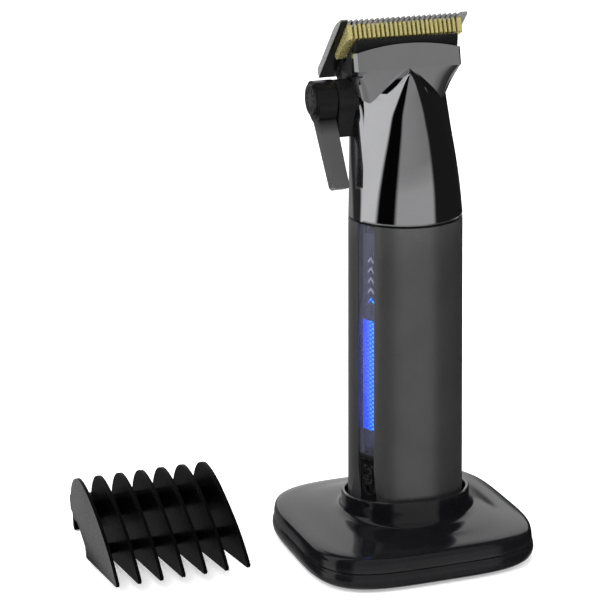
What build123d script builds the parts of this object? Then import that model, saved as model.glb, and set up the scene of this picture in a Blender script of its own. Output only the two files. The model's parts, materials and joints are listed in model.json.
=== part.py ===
"""Cordless hair clipper standing in its charging stand, with a guide comb lying beside it.

Millimetres, +Z up. The origin is the centre of the stand's underside, under the handle's axis.
The clipper's front faces -Y, its fixed blade faces +Y and its taper lever is on the -X side.
"""

import os
from math import acos, atan2, copysign, cos, pi, radians, sin, sqrt, tan

from build123d import *

# ---------------------------------------------------------------- driving dimensions

# charging stand
STAND_HALF = 42.4            # half width where the stand is widest
STAND_DEPTH_SHARE = 0.965    # its depth over its width
STAND_SHIFT = -1.6           # how far its middle lies off the handle's axis
STAND_EXPONENT = 3.9         # squareness of the rounded-square outline
PAD_TOP = 1.0                # the non-slip pad is this thick
PARTING_Z = 7.1              # joint between the stand's two covers
COVER_GAP = 0.2
STAND_EDGE_Z = 12.9          # top of the stand at its rim
COLLAR_FOOT_Z = 15.0
COLLAR_TOP_Z = 24.5          # at the front; the rim slopes down towards the back
COLLAR_SLOPE = 0.11
COLLAR_R = 23.0
CUP_R = 21.5
CUP_FLOOR_Z = 9.5
STAND_WALL = 2.2
SCREW_POST_XY = 27.0
CONTACT_SPACING = 8.0
INLET_Z = 6.6
INLET_FACE_Y = 40.2          # back face of the power inlet

# handle
HANDLE_BOTTOM_Z = 9.8
HANDLE_SHELL_Z = 12.0
JOINT_Z = 122.6              # top edge of the handle shell
HANDLE_BOTTOM_R = 20.6
HANDLE_TOP_R = 19.9
HANDLE_WALL = 1.5

# light strip and power switch, on a line up the handle's left front
STRIP_ANGLE = 65.0           # degrees from the front towards -X
STRIP_WIDTH = 7.6
STRIP_BOTTOM_Z = 39.0
SWITCH_Z = 30.6
SWITCH_TRAVEL = 3.0
LIGHT_BAR_Z = (48.0, 88.0)
CHEVRON_Z = (95.5, 99.1, 102.8, 106.4, 110.0)

# head
HEAD_Z = 123.4
NECK_Z = 163.6
BROW_Z = 174.6
BROW_Y = -4.0
BROW_HALF = 19.5
HEAD_WALL = 2.0

# blade set: the blade plane passes through this line and rises at 45 degrees towards the front
BLADE_EDGE_Y = 0.9
BLADE_EDGE_Z = 190.5
BLADE_WIDTH = 46.0
BLADE_LENGTH = 31.5
BLADE_THICKNESS = 3.4
FIXED_PITCH = 1.9
FIXED_TEETH = 21
CUTTER_WIDTH = 41.6
CUTTER_PITCH = 1.63
CUTTER_TEETH = 25

# taper lever
HUB_Y = 8.8
HUB_Z = 164.0
HUB_R = 6.4
HUB_FACE_X = -31.6
ARM_LENGTH = 31.6            # hub to the end of the arm
ARM_LEAN = 18.0              # degrees the arm points forward of straight down
LEVER_SWING = 50.0           # degrees from open to closed
TAPER_TRAVEL = 1.4           # how far the fixed blade moves over that swing

# motor and drive
MOTOR_R = 11.5
MOTOR_Z = (110.0, 140.0)
SHAFT_R = 1.15
CRANK = 1.2                  # eccentricity of the drive pin
RUNNING = 0.05               # radial running clearance

# guide comb
COMB_X = -112.1              # left face of the first fin
COMB_PITCH = 7.8
COMB_FINS = 7
FIN_THICKNESS = 1.2

# ---------------------------------------------------------------- shared frames and helpers

SQ = sqrt(0.5)
blade_face = Plane(origin=(0, BLADE_EDGE_Y, BLADE_EDGE_Z), x_dir=(1, 0, 0), z_dir=(0, SQ, SQ))
blade_side = Plane(origin=(0, BLADE_EDGE_Y, BLADE_EDGE_Z), x_dir=(0, SQ, -SQ), z_dir=(1, 0, 0))

STRIP_A = radians(STRIP_ANGLE)
strip_out = (-sin(STRIP_A), -cos(STRIP_A), 0)
strip_across = (cos(STRIP_A), -sin(STRIP_A), 0)
strip_face = Plane(origin=(0, 0, 0), x_dir=strip_across, z_dir=strip_out)
strip_side = Plane(origin=(0, 0, 0), x_dir=strip_out, z_dir=(sin(STRIP_A - pi / 2), cos(STRIP_A - pi / 2), 0))

# middle plane of the taper lever's arm
LEAN = radians(ARM_LEAN)
arm_face = Plane(origin=(0, HUB_Y, HUB_Z), x_dir=(1, 0, 0), z_dir=(0, -cos(LEAN), sin(LEAN)))

# offset of the lever's crank pin from its hub, along and square to the blade plane
PIN_V = TAPER_TRAVEL / 2
PIN_N = PIN_V / tan(radians(LEVER_SWING / 2))

made = []


def keep(part, name):
    """Label a finished piece and remember it for export."""
    part.label = name
    made.append((part, name))


def handle_r(z):
    """Outer radius of the handle at height z."""
    share = (z - HANDLE_BOTTOM_Z) / (JOINT_Z - HANDLE_BOTTOM_Z)
    return HANDLE_BOTTOM_R + (HANDLE_TOP_R - HANDLE_BOTTOM_R) * share


def squircle(z, half, exponent, share=1.0):
    """Face of a rounded square at height z; share 0 centres it on the handle, 1 on the stand."""
    depth = half * (1 - (1 - STAND_DEPTH_SHARE) * share)
    steps = 32
    points = []
    for i in range(steps):
        angle = 2 * pi * i / steps
        x = copysign(half * abs(cos(angle)) ** (2 / exponent), cos(angle))
        y = copysign(depth * abs(sin(angle)) ** (2 / exponent), sin(angle))
        points.append((x + STAND_SHIFT * share, y))
    with BuildSketch(Plane.XY.offset(z)) as outline:
        with BuildLine():
            Spline(*points, periodic=True)
        make_face()
    return outline.sketch


def squircle_stack(levels):
    """Solid lofted through squircle levels."""
    with BuildPart() as stack:
        loft([squircle(*level).face() for level in levels], ruled=True)
    return stack.part


def ring(r_out, r_in, z_low, z_high, r_top=None):
    """Tube round the Z axis; r_top gives its outer radius at the top where it tapers."""
    taper = (r_top if r_top else r_out) - r_out
    with BuildPart() as tube:
        with BuildSketch(Plane.XZ):
            Polygon(
                (r_in, z_low),
                (r_out, z_low),
                (r_out + taper, z_high),
                (r_in + taper, z_high),
                align=None,
            )
        revolve(axis=Axis.Z)
    return tube.part


def rod(plane, radius, length):
    """Cylinder that starts on a plane and runs along its normal."""
    with BuildPart() as bar:
        with BuildSketch(plane):
            Circle(radius)
        extrude(amount=length)
    return bar.part


# ---------------------------------------------------------------- charging stand

post_spots = GridLocations(2 * SCREW_POST_XY, 2 * SCREW_POST_XY, 2, 2).locations

top_skin = squircle_stack(
    [
        (PARTING_Z + COVER_GAP / 2, STAND_HALF - 0.5, STAND_EXPONENT),
        (9.8, STAND_HALF - 0.9, STAND_EXPONENT),
        (11.3, STAND_HALF - 1.5, STAND_EXPONENT),
        (12.3, STAND_HALF - 2.5, STAND_EXPONENT),
        (STAND_EDGE_Z, STAND_HALF - 4.2, STAND_EXPONENT),
        (13.8, 34.0, 3.3, 0.7),
        (14.5, 29.5, 2.6, 0.35),
        (COLLAR_FOOT_Z, 25.2, 2.05, 0.0),
    ]
)
top_hollow = squircle_stack(
    [
        (PARTING_Z - 1, STAND_HALF - 0.5 - STAND_WALL, STAND_EXPONENT),
        (STAND_EDGE_Z - STAND_WALL, STAND_HALF - 4.2 - STAND_WALL, STAND_EXPONENT),
    ]
)
with BuildPart() as stand_top_cover:
    add(top_skin)
    add(top_hollow, mode=Mode.SUBTRACT)
    # collar that holds the handle: flared foot, rounded rim, cup floor
    with BuildSketch(Plane.XZ):
        with BuildLine():
            Polyline((0, CUP_FLOOR_Z - 1.9), (COLLAR_R, CUP_FLOOR_Z - 1.9), (COLLAR_R + 2.2, COLLAR_FOOT_Z - 0.4))
            ThreePointArc(
                (COLLAR_R + 2.2, COLLAR_FOOT_Z - 0.4),
                (COLLAR_R + 0.5, COLLAR_FOOT_Z + 0.4),
                (COLLAR_R, COLLAR_FOOT_Z + 2.0),
            )
            Line((COLLAR_R, COLLAR_FOOT_Z + 2.0), (COLLAR_R, COLLAR_TOP_Z - 0.7))
            ThreePointArc(
                (COLLAR_R, COLLAR_TOP_Z - 0.7),
                (COLLAR_R - 0.25, COLLAR_TOP_Z - 0.15),
                (COLLAR_R - 0.75, COLLAR_TOP_Z),
            )
            Polyline(
                (COLLAR_R - 0.75, COLLAR_TOP_Z),
                (CUP_R, COLLAR_TOP_Z - 0.5),
                (CUP_R, CUP_FLOOR_Z),
                (0, CUP_FLOOR_Z),
                (0, CUP_FLOOR_Z - 1.9),
            )
        make_face()
    revolve(axis=Axis.Z)
    with BuildSketch(Plane.XY.offset(CUP_FLOOR_Z)):
        Circle(CUP_R)
    extrude(amount=20, mode=Mode.SUBTRACT)
    # rim sloping down towards the back
    with BuildSketch(Plane.YZ.offset(-30)):
        Polygon(
            (-COLLAR_R, COLLAR_TOP_Z),
            (COLLAR_R + 3, COLLAR_TOP_Z - COLLAR_SLOPE * (2 * COLLAR_R + 3)),
            (COLLAR_R + 3, COLLAR_TOP_Z + 3),
            (-COLLAR_R, COLLAR_TOP_Z + 3),
            align=None,
        )
    extrude(amount=60, mode=Mode.SUBTRACT)
    # posts for the screws
    with BuildSketch(Plane.XY.offset(PARTING_Z + COVER_GAP / 2)):
        with Locations(*post_spots):
            Circle(3.0)
    extrude(amount=4.2)
    with BuildSketch(Plane.XY.offset(PARTING_Z)):
        with Locations(*post_spots):
            Circle(1.3)
    extrude(amount=3.0, mode=Mode.SUBTRACT)
    # holes for the contact pins and the power inlet
    with BuildSketch(Plane.XY.offset(PARTING_Z)):
        with GridLocations(CONTACT_SPACING, 0, 2, 1):
            Circle(1.15)
    extrude(amount=5, mode=Mode.SUBTRACT)
    with BuildSketch(Plane.XZ.offset(-INLET_FACE_Y - 2)):
        with Locations((0, INLET_Z)):
            Circle(3.5)
    extrude(amount=12, mode=Mode.SUBTRACT)
keep(stand_top_cover.part, "stand_top_cover")

bottom_skin = squircle_stack(
    [
        (PAD_TOP, STAND_HALF - 1.8, STAND_EXPONENT),
        (1.6, STAND_HALF - 0.9, STAND_EXPONENT),
        (2.5, STAND_HALF - 0.3, STAND_EXPONENT),
        (4.0, STAND_HALF, STAND_EXPONENT),
        (PARTING_Z - COVER_GAP / 2, STAND_HALF - 0.45, STAND_EXPONENT),
    ]
)
bottom_hollow = squircle_stack(
    [
        (PAD_TOP + 1.8, STAND_HALF - 2.6, STAND_EXPONENT),
        (PARTING_Z + 1, STAND_HALF - 2.6, STAND_EXPONENT),
    ]
)
with BuildPart() as stand_bottom_cover:
    add(bottom_skin)
    add(bottom_hollow, mode=Mode.SUBTRACT)
    with BuildSketch(Plane.XY.offset(PAD_TOP + 1)):
        with Locations(*post_spots):
            Circle(3.4)
    extrude(amount=PARTING_Z - COVER_GAP / 2 - PAD_TOP - 1)
    with BuildSketch(Plane.XY.offset(PAD_TOP)):
        with Locations(*post_spots):
            Circle(2.6)
    extrude(amount=1.6, mode=Mode.SUBTRACT)
    with BuildSketch(Plane.XY.offset(PAD_TOP)):
        with Locations(*post_spots):
            Circle(1.5)
    extrude(amount=10, mode=Mode.SUBTRACT)
    with BuildSketch(Plane.XZ.offset(-INLET_FACE_Y - 2)):
        with Locations((0, INLET_Z)):
            Circle(3.5)
    extrude(amount=12, mode=Mode.SUBTRACT)
keep(stand_bottom_cover.part, "stand_bottom_cover")

with BuildPart() as stand_base_pad:
    add(squircle_stack([(0, STAND_HALF - 6, STAND_EXPONENT), (PAD_TOP, STAND_HALF - 6, STAND_EXPONENT)]))
keep(stand_base_pad.part, "stand_base_pad")

with BuildPart() as stand_weight_plate:
    add(squircle_stack([(3.0, STAND_HALF - 6.4, STAND_EXPONENT), (4.8, STAND_HALF - 6.4, STAND_EXPONENT)]))
    with BuildSketch(Plane.XY.offset(2)):
        Circle(9.0)
        with Locations(*post_spots):
            Circle(4.0)
        with Locations((0, 33)):
            Rectangle(13, 14)
    extrude(amount=4, mode=Mode.SUBTRACT)
keep(stand_weight_plate.part, "stand_weight_plate")

with BuildPart() as stand_circuit_board:
    with BuildSketch(Plane.XY.offset(5.2)):
        with Locations((0, 9)):
            Rectangle(20, 34)
        with GridLocations(CONTACT_SPACING, 0, 2, 1):
            Circle(1.15, mode=Mode.SUBTRACT)
    extrude(amount=1.2)
keep(stand_circuit_board.part, "stand_circuit_board")

with BuildPart() as stand_contact_pins:
    with BuildSketch(Plane.XY.offset(4.4)):
        with GridLocations(CONTACT_SPACING, 0, 2, 1):
            Circle(1.1)
    extrude(amount=HANDLE_BOTTOM_Z - 0.05 - 4.4)
keep(stand_contact_pins.part, "stand_contact_pins")

with BuildPart() as stand_power_inlet:
    with BuildSketch(Plane.XZ.offset(-INLET_FACE_Y + 12.3)):
        with Locations((0, INLET_Z)):
            Rectangle(9, 5.0)
    extrude(amount=-6.9)
    with BuildSketch(Plane.XZ.offset(-INLET_FACE_Y + 5.4)):
        with Locations((0, INLET_Z)):
            Circle(3.35)
    extrude(amount=-5.4)
    with BuildSketch(Plane.XZ.offset(-INLET_FACE_Y + 8.3)):
        with Locations((0, INLET_Z)):
            Circle(2.75)
    extrude(amount=-12.0, mode=Mode.SUBTRACT)
keep(stand_power_inlet.part, "stand_power_inlet")

keep(rod(Plane(origin=(0, INLET_FACE_Y - 8.3, INLET_Z), z_dir=(0, 1, 0)), 0.8, 7.0), "stand_inlet_pin")

with BuildPart() as stand_screws:
    with BuildSketch(Plane.XY.offset(PAD_TOP + 0.1)):
        with Locations(*post_spots):
            Circle(2.4)
    extrude(amount=1.5)
    with BuildSketch(Plane.XY.offset(PAD_TOP + 1.6)):
        with Locations(*post_spots):
            Circle(1.25)
    extrude(amount=7.0)
keep(stand_screws.part, "stand_screws")

# ---------------------------------------------------------------- handle

shell_bottom_r = handle_r(HANDLE_SHELL_Z)


def scoop():
    """Flat cut that opens the handle round the power switch and leaves a facet on each side of it."""
    with BuildPart() as wedge:
        with BuildSketch(strip_side.offset(-12)):
            Polygon((20.3, 34.6), (18.75, 24.0), (18.75, 11.0), (30, 11.0), (30, 34.6), align=None)
        extrude(amount=24)
    return wedge.part


with BuildPart() as handle_shell:
    add(ring(shell_bottom_r, shell_bottom_r - HANDLE_WALL, HANDLE_SHELL_Z, JOINT_Z, r_top=HANDLE_TOP_R))
    add(scoop(), mode=Mode.SUBTRACT)
    with BuildSketch(strip_face.offset(12)):
        with Locations((0, (STRIP_BOTTOM_Z + JOINT_Z + 2) / 2)):
            Rectangle(STRIP_WIDTH, JOINT_Z + 2 - STRIP_BOTTOM_Z)
        with Locations((0, (14.0 + STRIP_BOTTOM_Z) / 2)):
            Rectangle(STRIP_WIDTH, STRIP_BOTTOM_Z - 14.0)
    extrude(amount=12, mode=Mode.SUBTRACT)
keep(handle_shell.part, "handle_shell")

with BuildPart() as handle_bottom_cap:
    with BuildSketch(Plane.XY.offset(HANDLE_BOTTOM_Z)):
        Circle(HANDLE_BOTTOM_R - 0.6)
        with GridLocations(CONTACT_SPACING, 0, 2, 1):
            Circle(2.0, mode=Mode.SUBTRACT)
    extrude(amount=HANDLE_SHELL_Z - 0.1 - HANDLE_BOTTOM_Z)
    with BuildSketch(Plane.XY.offset(HANDLE_SHELL_Z - 0.1)):
        Circle(16.6)
        Circle(14.8, mode=Mode.SUBTRACT)
    extrude(amount=4.0)
    with BuildSketch(Plane.XY.offset(HANDLE_BOTTOM_Z)):
        with PolarLocations(12.5, 3, start_angle=90):
            Circle(1.15)
    extrude(amount=10, mode=Mode.SUBTRACT)
keep(handle_bottom_cap.part, "handle_bottom_cap")

with BuildPart() as handle_contacts:
    with BuildSketch(Plane.XY.offset(HANDLE_BOTTOM_Z)):
        with GridLocations(CONTACT_SPACING, 0, 2, 1):
            Circle(1.95)
    extrude(amount=2.6)
keep(handle_contacts.part, "handle_contacts")

with BuildPart() as cap_screws:
    with BuildSketch(Plane.XY.offset(HANDLE_BOTTOM_Z + 0.1)):
        with PolarLocations(12.5, 3, start_angle=90):
            Circle(1.1)
    extrude(amount=6.0)
keep(cap_screws.part, "cap_screws")


def strip_piece(r_out, r_in, width, z_low, z_high, across=0.0):
    """Curved slat in the light strip, following the handle's wall."""
    with BuildPart() as slat:
        add(ring(r_out, r_in, z_low, z_high))
        with BuildSketch(strip_face.offset(5)):
            with Locations((across, (z_low + z_high) / 2)):
                Rectangle(width, z_high - z_low)
        extrude(amount=30, mode=Mode.INTERSECT)
    return slat.part


keep(strip_piece(19.75, 18.75, STRIP_WIDTH - 0.2, STRIP_BOTTOM_Z + 0.1, JOINT_Z - 0.1), "side_window")
keep(strip_piece(18.35, 17.75, 6.6, LIGHT_BAR_Z[0], LIGHT_BAR_Z[1]), "light_bar")


def chevrons(heights):
    """Upward-pointing arrow marks behind the window."""
    with BuildPart() as marks:
        with BuildSketch(strip_face.offset(17.8)):
            for height in heights:
                with Locations((0.8, height)):
                    Polygon(
                        (-1.2, -1.1),
                        (0.0, 0.4),
                        (1.2, -1.1),
                        (1.2, -0.4),
                        (0.0, 1.1),
                        (-1.2, -0.4),
                        align=None,
                    )
        extrude(amount=0.5)
    return marks.part


keep(chevrons(CHEVRON_Z[1:]), "light_chevrons")
keep(chevrons(CHEVRON_Z[:1]), "lit_chevron")

with BuildPart() as light_board:
    with BuildSketch(strip_face.offset(16.0)):
        with Locations((0, 80.0)):
            Rectangle(7.4, 78.0)
    extrude(amount=1.2)
keep(light_board.part, "light_board")

with BuildPart() as switch_bezel:
    with BuildSketch(strip_side.offset(-STRIP_WIDTH / 2 + 0.1)):
        Polygon(
            (16.6, 14.2),
            (18.4, 14.2),
            (18.4, 25.0),
            (18.9, 36.2),
            (19.8, 37.4),
            (19.8, STRIP_BOTTOM_Z - 0.1),
            (16.6, STRIP_BOTTOM_Z - 0.1),
            align=None,
        )
    extrude(amount=STRIP_WIDTH - 0.2)
    with BuildSketch(strip_face.offset(15)):
        with Locations((0, SWITCH_Z - SWITCH_TRAVEL / 2)):
            RectangleRounded(4.4, 7.4 + SWITCH_TRAVEL, 2.0)
    extrude(amount=8, mode=Mode.SUBTRACT)
keep(switch_bezel.part, "switch_bezel")

with BuildPart() as power_switch_slider:
    with BuildSketch(strip_face.offset(17.2)):
        with Locations((0, SWITCH_Z)):
            RectangleRounded(3.8, 6.8, 1.8)
    extrude(amount=2.0)
    with BuildSketch(strip_face.offset(19.2)):
        with Locations((0, SWITCH_Z)):
            Ellipse(1.7, 1.1)
    extrude(amount=0.9)
keep(power_switch_slider.part, "power_switch_slider")

with BuildPart() as electric_switch:
    with BuildSketch(strip_face.offset(12.5)):
        with Locations((0, SWITCH_Z)):
            Rectangle(7.0, 14.0)
    extrude(amount=3.9)
keep(electric_switch.part, "electric_switch")

BATTERY_R = 9.1
with BuildPart() as battery_cell:
    with BuildSketch(Plane.XY.offset(42.0)):
        with Locations((2.0, 0)):
            Circle(BATTERY_R)
    extrude(amount=64.0)
    with BuildSketch(Plane.XY.offset(106.0)):
        with Locations((2.0, 0)):
            Circle(3.2)
    extrude(amount=1.0)
keep(battery_cell.part, "battery_cell")

with BuildPart() as battery_cradle:
    with BuildSketch(Plane.XY.offset(40.0)):
        with Locations((2.0, 0)):
            Circle(BATTERY_R + 1.9)
    extrude(amount=68.5)
    with BuildSketch(Plane.XY.offset(41.6)):
        with Locations((2.0, 0)):
            Circle(BATTERY_R + 0.2)
    extrude(amount=65.6, mode=Mode.SUBTRACT)
    with BuildSketch(Plane.XY.offset(39.0)):
        with Locations((-8.0, -8.0)):
            Rectangle(20.0, 16.0)
    extrude(amount=70.0, mode=Mode.SUBTRACT)
keep(battery_cradle.part, "battery_cradle")

with BuildPart() as main_circuit_board:
    with BuildSketch(Plane.XZ.offset(-13.2)):
        with Locations((0, 66.0)):
            Rectangle(20.0, 84.0)
    extrude(amount=-1.6)
keep(main_circuit_board.part, "main_circuit_board")

keep(ring(19.3, 17.0, JOINT_Z, HEAD_Z), "joint_ring")

# ---------------------------------------------------------------- head covers

# crease between the covers (half width, depth), the front's furthest point and the nose's radius, by height
FRONT_LEVELS = (
    (HEAD_Z, 18.6, -7.1, -19.9, 19.7),
    (133.0, 18.0, -6.0, -19.3, 18.3),
    (143.0, 17.1, -4.2, -17.9, 16.0),
    (153.0, 15.9, -1.6, -15.7, 13.1),
    (NECK_Z - 3.6, 15.0, 0.2, -13.3, 10.8),
    (NECK_Z + 0.9, 14.3, 2.0, -11.5, 8.3),
    (169.5, 7.5, -2.2, -8.9, 5.0),
    (172.5, 3.7, -3.0, -6.7, 2.5),
    (BROW_Z - 0.3, 0.45, -3.8, -4.4, 0.25),
)
# half width and depth of the crease, of the sides' widest point, and the back's furthest point
BACK_LEVELS = (
    (HEAD_Z, 18.6, -7.1, 19.9, 0.0, 19.9),
    (143.0, 17.1, -4.2, 18.9, 3.5, 20.4),
    (156.0, 15.5, -0.8, 18.1, 5.6, 21.3),
    (166.5, 14.0, 2.5, 17.5, 7.2, 22.7),
)


def front_level(z, half, crease_y, front_y, nose_r, inset=0.0):
    """Section of the front cover: round nose, flat flanks back to the crease; inset gives the hollow."""
    centre_y = front_y + nose_r
    reach = sqrt(half**2 + (crease_y - centre_y) ** 2)
    turn = atan2(half, centre_y - crease_y) - acos(min(1.0, nose_r / reach))
    radius = nose_r - inset
    tangent_x, tangent_y = radius * sin(turn), centre_y - radius * cos(turn)
    edge_x = half - inset / sin(turn)
    with BuildSketch(Plane.XY.offset(z)) as level:
        with BuildLine():
            Line((-edge_x, crease_y), (-tangent_x, tangent_y))
            ThreePointArc((-tangent_x, tangent_y), (0, front_y + inset), (tangent_x, tangent_y))
            Line((tangent_x, tangent_y), (edge_x, crease_y))
            Line((edge_x, crease_y), (-edge_x, crease_y))
        make_face()
    return level.sketch.face()


def back_level(z, crease_x, crease_y, side_x, side_y, back_y, inset=0.0):
    """Section of the back cover: crease, side, back, side, crease, closed by a chord."""
    ix = side_x - inset
    cx = crease_x - inset
    mid_x = (cx + ix) / 2 + 0.25
    mid_y = (crease_y + side_y) / 2 - 0.35
    with BuildSketch(Plane.XY.offset(z)) as level:
        with BuildLine():
            ThreePointArc((-cx, crease_y), (-mid_x, mid_y), (-ix, side_y))
            ThreePointArc((-ix, side_y), (0, back_y - inset), (ix, side_y))
            ThreePointArc((ix, side_y), (mid_x, mid_y), (cx, crease_y))
            Line((cx, crease_y), (-cx, crease_y))
        make_face()
    return level.sketch.face()


# block under the blades that carries the brow across the top of the front
with BuildPart() as brow:
    with BuildSketch(Plane.YZ.offset(-BROW_HALF - 1)):
        Polygon(
            (BROW_Y, BROW_Z),
            (-1.0, 158.0),
            (1.6, 158.0),
            (1.6, 183.3),
            (-2.1, 183.3),
            align=None,
        )
    extrude(amount=2 * BROW_HALF + 2)
    with BuildSketch(Plane.XZ.offset(-10)):
        with BuildLine():
            Polyline(
                (-BROW_HALF + 0.3, 180.4),
                (-BROW_HALF, BROW_Z),
                (-14.2, 158.5),
                (14.2, 158.5),
                (BROW_HALF, BROW_Z),
                (BROW_HALF - 0.3, 180.4),
            )
            ThreePointArc((BROW_HALF - 0.3, 180.4), (0, 183.0), (-BROW_HALF + 0.3, 180.4))
        make_face()
    extrude(amount=20, mode=Mode.INTERSECT)

with BuildPart() as front_outer:
    loft([front_level(*level) for level in FRONT_LEVELS], ruled=True)

with BuildPart() as front_inner:
    loft([front_level(*level, inset=HEAD_WALL) for level in FRONT_LEVELS[:6]], ruled=True)

with BuildPart() as head_front_cover:
    add(front_outer.part)
    add(brow.part)
    add(front_inner.part, mode=Mode.SUBTRACT)
keep(head_front_cover.part, "head_front_cover")

with BuildPart() as back_outer:
    loft([back_level(*level) for level in BACK_LEVELS], ruled=True)
with BuildPart() as back_inner:
    loft([back_level(*level, inset=HEAD_WALL) for level in BACK_LEVELS], ruled=True)

hub_axis = Plane(origin=(0, HUB_Y, HUB_Z), x_dir=(0, 1, 0), z_dir=(1, 0, 0))
bed_seat_z = 163.8


def block_outline(margin):
    """Face of the block that carries the taper lever, grown by a margin."""
    with BuildSketch(hub_axis) as outline:
        with BuildLine():
            Polyline((-5.6 - margin, -4.0), (-5.0 - margin, -13.0 - margin), (5.0 + margin, -13.0 - margin))
            Line((5.0 + margin, -13.0 - margin), (5.6 + margin, -4.0))
            ThreePointArc((5.6 + margin, -4.0), (0, 6.2 + margin), (-5.6 - margin, -4.0))
        make_face()
    return outline.sketch


with BuildPart() as head_back_cover:
    add(back_outer.part)
    add(back_inner.part, mode=Mode.SUBTRACT)
    add(front_outer.part, mode=Mode.SUBTRACT)
    add(brow.part, mode=Mode.SUBTRACT)
    # flat seat for the blade bed, and a lip that rises to the blade's heel
    with BuildSketch(Plane.YZ.offset(-30)):
        Polygon(
            (-30, bed_seat_z),
            (19.7, bed_seat_z),
            (20.6, bed_seat_z - 0.9),
            (26.0, bed_seat_z + 4.5),
            (26.0, 200),
            (-30, 200),
            align=None,
        )
    extrude(amount=60, mode=Mode.SUBTRACT)
    # window in the left side for the lever's block
    extrude(Pos(-30, 0, 0) * block_outline(0.15), amount=25, mode=Mode.SUBTRACT)
    # holes for the cover screws
    with BuildSketch(Plane.XZ.offset(-30)):
        with Locations((0, 130.0), (0, 150.0)):
            Circle(1.7)
    extrude(amount=20, mode=Mode.SUBTRACT)
keep(head_back_cover.part, "head_back_cover")

with BuildPart() as cover_screws:
    with BuildSketch(Plane.XZ.offset(-14.6)):
        with Locations((0, 130.0), (0, 150.0)):
            Circle(1.0)
    extrude(amount=-4.2)
    with BuildSketch(Plane.XZ.offset(-18.8)):
        with Locations((0, 130.0), (0, 150.0)):
            Circle(1.6)
    extrude(amount=-0.9)
keep(cover_screws.part, "cover_screws")

# ---------------------------------------------------------------- blade bed and what it carries

with BuildPart() as lever_block:
    extrude(Pos(-23.2, 0, 0) * block_outline(0), amount=7.4)
    with BuildSketch(hub_axis.offset(-30)):
        Circle(3.6)
    extrude(amount=20, mode=Mode.SUBTRACT)
keep(lever_block.part, "lever_block")

with BuildPart() as blade_bed:
    with BuildSketch(Plane.YZ.offset(-BROW_HALF + 0.6)):
        Polygon(
            (1.8, 161.0),
            (1.8, 182.2),
            (2.2, 182.2),
            (17.4, 167.0),
            (20.0, 161.0),
            align=None,
        )
    extrude(amount=2 * BROW_HALF - 1.2)
    # taper below to follow the covers
    with BuildSketch(Plane.XZ.offset(-30)):
        Polygon(
            (-13.0, 160.0),
            (-18.9, 172.5),
            (-18.9, 190.0),
            (18.9, 190.0),
            (18.9, 172.5),
            (13.0, 160.0),
            align=None,
        )
    extrude(amount=60, mode=Mode.INTERSECT)
    # well for the yoke and the lever's cam
    with BuildSketch(Plane.XY.offset(150)):
        with Locations((0, 10.4)):
            Rectangle(22.0, 14.8)
    extrude(amount=50, mode=Mode.SUBTRACT)
    # bore for the lever shaft's bush
    with BuildSketch(Plane.YZ.offset(-30)):
        with Locations((HUB_Y, HUB_Z)):
            Circle(3.6)
    extrude(amount=25, mode=Mode.SUBTRACT)
    add(head_back_cover.part, mode=Mode.SUBTRACT)
    add(head_front_cover.part, mode=Mode.SUBTRACT)
    add(lever_block.part, mode=Mode.SUBTRACT)
keep(blade_bed.part, "blade_bed")

with BuildPart() as nose_insert:
    with BuildSketch(Plane.YZ.offset(-BROW_HALF + 0.9)):
        Polygon((-1.4, 180.0), (-1.9, 184.0), (-1.3, 185.0), (-0.6, 184.9), (1.6, 182.6), (1.6, 180.0), align=None)
    extrude(amount=2 * BROW_HALF - 1.8)
    add(head_front_cover.part, mode=Mode.SUBTRACT)
keep(nose_insert.part, "nose_insert")

with BuildPart() as motor_can:
    with BuildSketch(Plane.XY.offset(MOTOR_Z[0])):
        Circle(MOTOR_R)
    extrude(amount=MOTOR_Z[1] - MOTOR_Z[0])
    with BuildSketch(Plane.XY.offset(MOTOR_Z[1])):
        Circle(4.0)
    extrude(amount=2.0)
    with BuildSketch(Plane.XY.offset(MOTOR_Z[1] - 14)):
        Circle(SHAFT_R + RUNNING)
    extrude(amount=20, mode=Mode.SUBTRACT)
keep(motor_can.part, "motor_can")

with BuildPart() as motor_mount:
    add(ring(13.6, MOTOR_R, 112.0, 139.0))
    with BuildSketch(Plane.XY.offset(112.0)):
        with Locations((0, 13.6)):
            Rectangle(6.0, 2.0)
    extrude(amount=27.0)
    with BuildSketch(Plane.XZ.offset(-11.0)):
        with Locations((0, 130.0)):
            Circle(1.05)
    extrude(amount=-6.0, mode=Mode.SUBTRACT)
keep(motor_mount.part, "motor_mount")

keep(rod(Plane.XY.offset(MOTOR_Z[1] - 12), SHAFT_R, 21.0), "motor_shaft")

with BuildPart() as eccentric:
    with BuildSketch(Plane.XY.offset(144.0)):
        Circle(4.6)
        Circle(SHAFT_R, mode=Mode.SUBTRACT)
    extrude(amount=4.0)
    with BuildSketch(Plane.XY.offset(148.0)):
        Circle(2.6)
        Circle(SHAFT_R, mode=Mode.SUBTRACT)
    extrude(amount=1.0)
    with BuildSketch(Plane.XY.offset(149.0)):
        with Locations((0, CRANK)):
            Circle(1.2)
    extrude(amount=7.0)
keep(eccentric.part, "eccentric")

with BuildPart() as drive_bearing:
    with BuildSketch(Plane.XY.offset(150.5)):
        with Locations((0, CRANK)):
            Circle(2.1)
            Circle(1.2, mode=Mode.SUBTRACT)
    extrude(amount=4.0)
keep(drive_bearing.part, "drive_bearing")

rivet_spots = ((-6.0, 13.2), (6.0, 13.2))

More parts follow.
